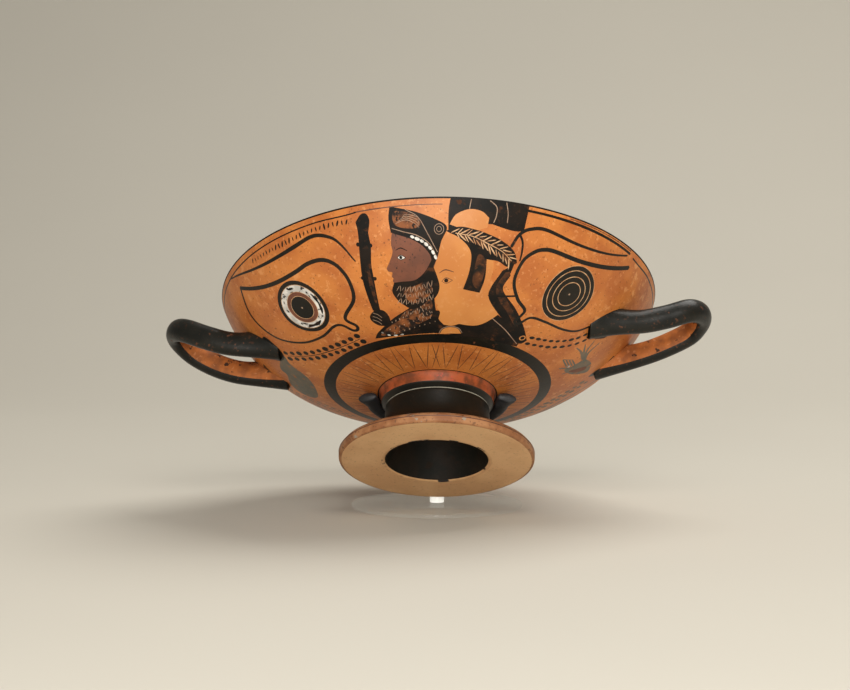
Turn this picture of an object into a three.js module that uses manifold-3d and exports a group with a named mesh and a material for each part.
// A Greek drinking cup (kylix) of fired clay, tilted back on its display stand.
// Millimetres, +Z up. The origin is the middle of the stand's underside, and the cup's
// painted front and the hollow of its foot face -Y.
import * as THREE from "three";
import { mergeVertices } from "three/addons/utils/BufferGeometryUtils.js";
import Module from "manifold-3d";

const wasm = await Module();
wasm.setup();

// ---- driving dimensions ---------------------------------------------------------------
const TURN_STEPS = 64; // facets round the cup

// How the cup is held: the middle of the foot's underside, and how far it leans back.
const CUP_AT = new THREE.Vector3(1.3, -69, 40.4);
const CUP_TILT = THREE.MathUtils.degToRad(30);

// The potter set the bowl a little askew on its stem: its right-hand side stands high.
const BOWL_SLANT = 0.0196; // rise for each millimetre to the right
const SLANT_FROM = 44; // height where the slant begins
const SLANT_FULL = 74; // and where it is complete

// Foot: a broad disc, hollow below, rising to a short thick stem.
const FOOT_R = 66;
const FOOT_EDGE = 7.2; // height of the disc's rounded edge
const FOOT_HOLE_R = 35.4;
const FOOT_ROUND = 1.2; // rounding of the underside's outer corner
const EDGE_ROUND = 2; // and of the edge's top
const STEM_R = 35.3;
const GROOVE_Z = 38.8; // incised line round the stem
const GROOVE_DEPTH = 0.6;
const COLLAR_R = 38.2; // raised ring above the groove
const COLLAR_Z = 42.3;
const FILLET = [38.8, 45.3]; // middle of the fillet between the collar and the bowl

// [radius, height] of the foot's hollow from its top out, and of the flare from the foot's
// edge up to the stem.
const FOOT_HOLLOW = [
  [0, 36],
  [10, 35],
  [19, 30],
  [26.5, 20],
  [32.5, 7],
];
const FOOT_FLARE = [
  [56, 9.8],
  [46.3, 13.4],
  [39.8, 18.7],
  [36.3, 26.2],
];

// Bowl: its outside is one curve from the stem's fillet to the lip.
const BOWL_ROOT_R = 40;
const BOWL_ROOT_Z = 49;
const RIM_R = 150;
const RIM_Z = 119.4;
const ROOT_SLOPE = THREE.MathUtils.degToRad(9.4);
const ROOT_PULL = 50.3; // how far the curve keeps that slope
const RIM_SLOPE = THREE.MathUtils.degToRad(67.9);
const RIM_PULL = 50.8;
const OUTSIDE_STEPS = 12;
const INSIDE_STEPS = 9;
const WALL_RIM = 4.2;
const WALL_ROOT = 6.6;
const LIP_RISE = 0.5; // how far the rounded lip stands above the rim
const LIP_AT = 0.45; // and where, as a share of the wall
const FLOOR_Z = 53.6; // inside floor on the axis
const FLOOR_RISE = 0.5; // how much higher the floor is half way out to the root

// Handles: a loop on each side that leaves the bowl level and turns up towards its tip. The
// two are made by hand and differ slightly.
const HANDLE = {
  tubeWidth: 12.6,
  tubeHeight: 16.8,
  rootFlare: 1.31, // how much thicker the tube is where it joins the bowl
  flareLength: 14,
  rootReach: 106,
  levelTo: 124, // reach at which it starts to rise
  // Reach, and how far the arms have come from their spread at the root to the loop's spread.
  arms: [
    [124, 0.3],
    [142, 0.75],
  ],
  // Reach, and share of the loop's spread, up to the tip.
  loop: [
    [158, 0.97],
    [172, 0.8],
  ],
  tipRound: 2.5, // how far short of the tip the last bend starts
  tipSpread: 0.42, // and its share of the spread
  riseCurve: 1.8,
  sides: 10,
  steps: 34,
};
// turn: degrees from +X. spread: half the distance between the loop's arms.
const HANDLES = [
  { turn: -6.1, rootSpread: 33.2, spread: 22, rootZ: 80.8, tipReach: 181.3, tipZ: 96.1 },
  { turn: 177.8, rootSpread: 24.6, spread: 22.6, rootZ: 79.2, tipReach: 182.7, tipZ: 101.4 },
];

// Display stand: a forked cradle under the stem, and a clear rod glued to its round foot.
const ROD_R = 5;
const GLUE_GAP = 0.3;
const BASE_R = 60;
const BASE_H = 2.5;
const BASE_CHAMFER = 0.7;
const ROD_TOP = 47;
const FORK_Z = 45.8; // height of the fork's middle on the cup's axis, just under the bowl
const FORK_R = 44.9; // from the stem's axis to the middle of the bar
const FORK_WIDTH = 9.4;
const FORK_THICK = 6.6;
const PRONG_WIDTH = 13.5; // the prongs' tips are broader than the bar
const PRONG_AHEAD = 4; // how far they reach in front of the stem's axis
const PRONG_FLARE = 3.4; // and how far they stand out
const NECK_R = 4.2;
const PRONG_ROUND = 2; // how far from the tip the prongs start to round off
const PRONG_LENGTH = 16; // and from where they narrow to the bar
const ARC_START = 0.12; // where the fork's arc starts, in radians
const SOCKET_R = 8;
const SOCKET_EDGE = 1; // chamfer at the socket's bottom
const SOCKET_SHOULDER = 3; // and at its top
const SOCKET_BOTTOM = 38;
const SOCKET_TOP = 54;

// ---- helpers --------------------------------------------------------------------------
function toManifold(geometry) {
  const bare = geometry.clone();
  bare.deleteAttribute("normal");
  bare.deleteAttribute("uv");
  const merged = mergeVertices(bare, 1e-4);
  return new wasm.Manifold(
    new wasm.Mesh({
      numProp: 3,
      vertProperties: Float32Array.from(merged.attributes.position.array),
      triVerts: Uint32Array.from(merged.index.array),
    }),
  );
}

function toGeometry(solid) {
  const mesh = solid.getMesh();
  const geometry = new THREE.BufferGeometry();
  geometry.setAttribute("position", new THREE.BufferAttribute(mesh.vertProperties, 3));
  geometry.setIndex(new THREE.BufferAttribute(mesh.triVerts, 1));
  geometry.computeVertexNormals();
  return geometry;
}

// A solid of revolution about +Z from [radius, height] points that start and end on the axis.
function turned(points, steps) {
  const profile = points.map(([r, z]) => new THREE.Vector2(Math.max(r, 0), z));
  return new THREE.LatheGeometry(profile, steps).rotateX(Math.PI / 2);
}

// A closed bar of oval section along a curve. Its height points along `upwards`.
function ovalBar(curve, upwards, { steps, sides, halfWidth, halfHeight }) {
  const positions = [];
  const index = [];
  const put = (v) => positions.push(v.x, v.y, v.z);
  for (let i = 0; i <= steps; i++) {
    const t = i / steps;
    const at = curve.getPointAt(t);
    const along = curve.getTangentAt(t);
    const across = new THREE.Vector3().crossVectors(along, upwards).normalize();
    const up = new THREE.Vector3().crossVectors(across, along).normalize();
    for (let k = 0; k < sides; k++) {
      const angle = (2 * Math.PI * k) / sides;
      put(
        at
          .clone()
          .addScaledVector(across, Math.cos(angle) * halfWidth(t))
          .addScaledVector(up, Math.sin(angle) * halfHeight(t)),
      );
    }
  }
  for (let i = 0; i < steps; i++) {
    for (let k = 0; k < sides; k++) {
      const a = i * sides + k;
      const b = i * sides + ((k + 1) % sides);
      index.push(a, a + sides, b, b, a + sides, b + sides);
    }
  }
  for (const [row, flip] of [[0, false], [steps, true]]) {
    const middle = positions.length / 3;
    put(curve.getPointAt(row / steps));
    for (let k = 0; k < sides; k++) {
      const a = row * sides + k;
      const b = row * sides + ((k + 1) % sides);
      index.push(...(flip ? [b, a, middle] : [a, b, middle]));
    }
  }
  const geometry = new THREE.BufferGeometry();
  geometry.setAttribute("position", new THREE.Float32BufferAttribute(positions, 3));
  geometry.setIndex(index);
  return geometry;
}

// ---- cup ------------------------------------------------------------------------------
const bowlCurve = new THREE.CubicBezierCurve(
  new THREE.Vector2(BOWL_ROOT_R, BOWL_ROOT_Z),
  new THREE.Vector2(
    BOWL_ROOT_R + ROOT_PULL * Math.cos(ROOT_SLOPE),
    BOWL_ROOT_Z + ROOT_PULL * Math.sin(ROOT_SLOPE),
  ),
  new THREE.Vector2(
    RIM_R - RIM_PULL * Math.cos(RIM_SLOPE),
    RIM_Z - RIM_PULL * Math.sin(RIM_SLOPE),
  ),
  new THREE.Vector2(RIM_R, RIM_Z),
);

// The bowl's wall, moved inwards from the outer curve by a share of its thickness.
function wallPoints(steps, share) {
  return Array.from({ length: steps + 1 }, (_, i) => {
    const t = i / steps;
    const at = bowlCurve.getPoint(t);
    const along = bowlCurve.getTangent(t);
    const inwards = THREE.MathUtils.lerp(WALL_ROOT, WALL_RIM, t) * share;
    return [at.x - along.y * inwards, at.y + along.x * inwards];
  });
}

function footAndStem() {
  return [
    ...FOOT_HOLLOW,
    [FOOT_HOLE_R, 0],
    [FOOT_R - FOOT_ROUND, 0],
    [FOOT_R, 1.5 * FOOT_ROUND],
    [FOOT_R, FOOT_EDGE - EDGE_ROUND],
    [FOOT_R - 0.8 * EDGE_ROUND, FOOT_EDGE],
    ...FOOT_FLARE,
    [STEM_R, GROOVE_Z - GROOVE_DEPTH],
    [STEM_R - GROOVE_DEPTH, GROOVE_Z],
    [STEM_R, GROOVE_Z + GROOVE_DEPTH],
    [COLLAR_R, COLLAR_Z],
    FILLET,
  ];
}

function cupBody() {
  const outside = wallPoints(OUTSIDE_STEPS, 0);
  const inside = wallPoints(INSIDE_STEPS, 1).reverse();
  const lip = [RIM_R - WALL_RIM * LIP_AT, RIM_Z + LIP_RISE];
  const floor = [
    [BOWL_ROOT_R / 2, FLOOR_Z + FLOOR_RISE],
    [0, FLOOR_Z],
  ];
  return turned([...footAndStem(), ...outside, lip, ...inside, ...floor], TURN_STEPS);
}

// Everything inside the middle of the bowl's wall, which trims the handles' roots.
function bowlCore() {
  const wall = wallPoints(OUTSIDE_STEPS, 0.5);
  const [topR] = wall[wall.length - 1];
  const top = RIM_Z + RIM_PULL; // well above the lip
  return turned([[0, BOWL_ROOT_Z + 2], ...wall, [topR, top], [0, top]], TURN_STEPS);
}

function handleBar({ turn, rootSpread, spread, rootZ, tipReach, tipZ }) {
  const { rootReach, levelTo, riseCurve } = HANDLE;
  const arm = [
    [rootReach, rootSpread],
    ...HANDLE.arms.map(([reach, way]) => [reach, THREE.MathUtils.lerp(rootSpread, spread, way)]),
    ...HANDLE.loop.map(([reach, share]) => [reach, spread * share]),
    [tipReach - HANDLE.tipRound, spread * HANDLE.tipSpread],
    [tipReach, 0],
  ];
  const height = (reach) =>
    rootZ + (tipZ - rootZ) * (Math.max(0, reach - levelTo) / (tipReach - levelTo)) ** riseCurve;
  const along = (sign) =>
    arm.map(([reach, side]) => new THREE.Vector3(reach, sign * side, height(reach)));
  const points = [...along(-1), ...along(1).reverse().slice(1)];
  const curve = new THREE.CatmullRomCurve3(points, false, "centripetal");
  const rise = Math.atan2(tipZ - rootZ, tipReach - rootReach);
  const upwards = new THREE.Vector3(-Math.sin(rise), 0, Math.cos(rise));
  const length = curve.getLength();
  const flare = (t) => {
    const toRoot = Math.min(t, 1 - t) * length;
    return 1 + (HANDLE.rootFlare - 1) * Math.exp(-((toRoot / HANDLE.flareLength) ** 2));
  };
  return ovalBar(curve, upwards, {
    steps: HANDLE.steps,
    sides: HANDLE.sides,
    halfWidth: (t) => (HANDLE.tubeWidth / 2) * flare(t),
    halfHeight: (t) => (HANDLE.tubeHeight / 2) * flare(t),
  }).rotateZ(THREE.MathUtils.degToRad(turn));
}

// Sets everything above the stem askew.
function slanted(geometry) {
  const position = geometry.attributes.position;
  for (let i = 0; i < position.count; i++) {
    const z = position.getZ(i);
    const share = THREE.MathUtils.clamp((z - SLANT_FROM) / (SLANT_FULL - SLANT_FROM), 0, 1);
    position.setZ(i, z + BOWL_SLANT * position.getX(i) * share);
  }
  geometry.computeVertexNormals();
  return geometry;
}

function kylixGeometry() {
  const core = toManifold(bowlCore());
  const bars = HANDLES.map((handle) => toManifold(handleBar(handle)).subtract(core));
  return slanted(toGeometry(bars.reduce((cup, bar) => cup.add(bar), toManifold(cupBody()))));
}

// ---- stand ----------------------------------------------------------------------------
const cupPlace = new THREE.Matrix4().makeRotationX(-CUP_TILT).setPosition(CUP_AT);

// The fork: a horseshoe bar round the back of the stem, on the cup's own axis.
function forkBar() {
  const tip = (sign) => new THREE.Vector3(sign * (FORK_R + PRONG_FLARE), -PRONG_AHEAD, FORK_Z);
  const arc = Array.from({ length: 11 }, (_, i) => {
    const angle = THREE.MathUtils.lerp(ARC_START, Math.PI - ARC_START, i / 10);
    return new THREE.Vector3(FORK_R * Math.cos(angle), FORK_R * Math.sin(angle), FORK_Z);
  });
  const curve = new THREE.CatmullRomCurve3([tip(1), ...arc, tip(-1)], false, "centripetal");
  const length = curve.getLength();
  const toTip = (t) => Math.min(t, 1 - t) * length;
  const rounding = (t) => {
    const toEnd = 1 - Math.min(1, toTip(t) / PRONG_ROUND + 0.03); // the tip itself keeps a small face
    return Math.sqrt(1 - toEnd ** 2);
  };
  const width = (t) => {
    const share = THREE.MathUtils.smoothstep(toTip(t), PRONG_ROUND, PRONG_LENGTH);
    return THREE.MathUtils.lerp(PRONG_WIDTH, FORK_WIDTH, share);
  };
  return ovalBar(curve, new THREE.Vector3(0, 0, 1), {
    steps: 36,
    sides: 10,
    halfWidth: (t) => (width(t) / 2) * rounding(t),
    halfHeight: (t) => (FORK_THICK / 2) * rounding(t),
  }).applyMatrix4(cupPlace);
}

function cradleGeometry() {
  const forkBack = new THREE.Vector3(0, FORK_R, FORK_Z).applyMatrix4(cupPlace);
  const socketMiddle = new THREE.Vector3(0, 0, (SOCKET_BOTTOM + SOCKET_TOP) / 2);
  const neck = ovalBar(new THREE.LineCurve3(forkBack, socketMiddle), new THREE.Vector3(1, 0, 0), {
    steps: 1,
    sides: 12,
    halfWidth: () => NECK_R,
    halfHeight: () => NECK_R,
  });
  const socket = turned(
    [
      [0, SOCKET_BOTTOM],
      [SOCKET_R - SOCKET_EDGE, SOCKET_BOTTOM],
      [SOCKET_R, SOCKET_BOTTOM + SOCKET_EDGE],
      [SOCKET_R, SOCKET_TOP - SOCKET_SHOULDER],
      [SOCKET_R - SOCKET_SHOULDER, SOCKET_TOP],
      [0, SOCKET_TOP],
    ],
    24,
  );
  const bore = turned(
    [
      [0, SOCKET_BOTTOM - 1],
      [ROD_R + GLUE_GAP, SOCKET_BOTTOM - 1],
      [ROD_R + GLUE_GAP, ROD_TOP + GLUE_GAP],
      [0, ROD_TOP + GLUE_GAP],
    ],
    24,
  );
  const body = [forkBar(), neck, socket].map(toManifold).reduce((a, b) => a.add(b));
  return toGeometry(body.subtract(toManifold(bore)));
}

function rodGeometry() {
  const bottom = BASE_H + GLUE_GAP;
  return turned(
    [
      [0, bottom],
      [ROD_R, bottom],
      [ROD_R, ROD_TOP],
      [0, ROD_TOP],
    ],
    24,
  );
}

function baseGeometry() {
  return turned(
    [
      [0, 0],
      [BASE_R - BASE_CHAMFER, 0],
      [BASE_R, BASE_CHAMFER],
      [BASE_R, BASE_H - BASE_CHAMFER],
      [BASE_R - BASE_CHAMFER, BASE_H],
      [0, BASE_H],
    ],
    48,
  );
}

// ---- assembly -------------------------------------------------------------------------
const clay = new THREE.MeshStandardMaterial({ color: 0xb8622f, roughness: 0.55, metalness: 0 });
const blackCover = new THREE.MeshStandardMaterial({ color: 0x17181a, roughness: 0.6, metalness: 0 });
const clear = new THREE.MeshStandardMaterial({ color: 0xeef2f2, roughness: 0.08, metalness: 0 });

const group = new THREE.Group();
const add = (name, geometry, material) => {
  const mesh = new THREE.Mesh(geometry, material);
  mesh.name = name;
  group.add(mesh);
  return mesh;
};

const kylix = add("kylix", kylixGeometry(), clay);
kylix.position.copy(CUP_AT);
kylix.rotation.x = -CUP_TILT;
add("stand_cradle", cradleGeometry(), blackCover);
add("stand_rod", rodGeometry(), clear);
add("stand_foot", baseGeometry(), clear);

export default group;
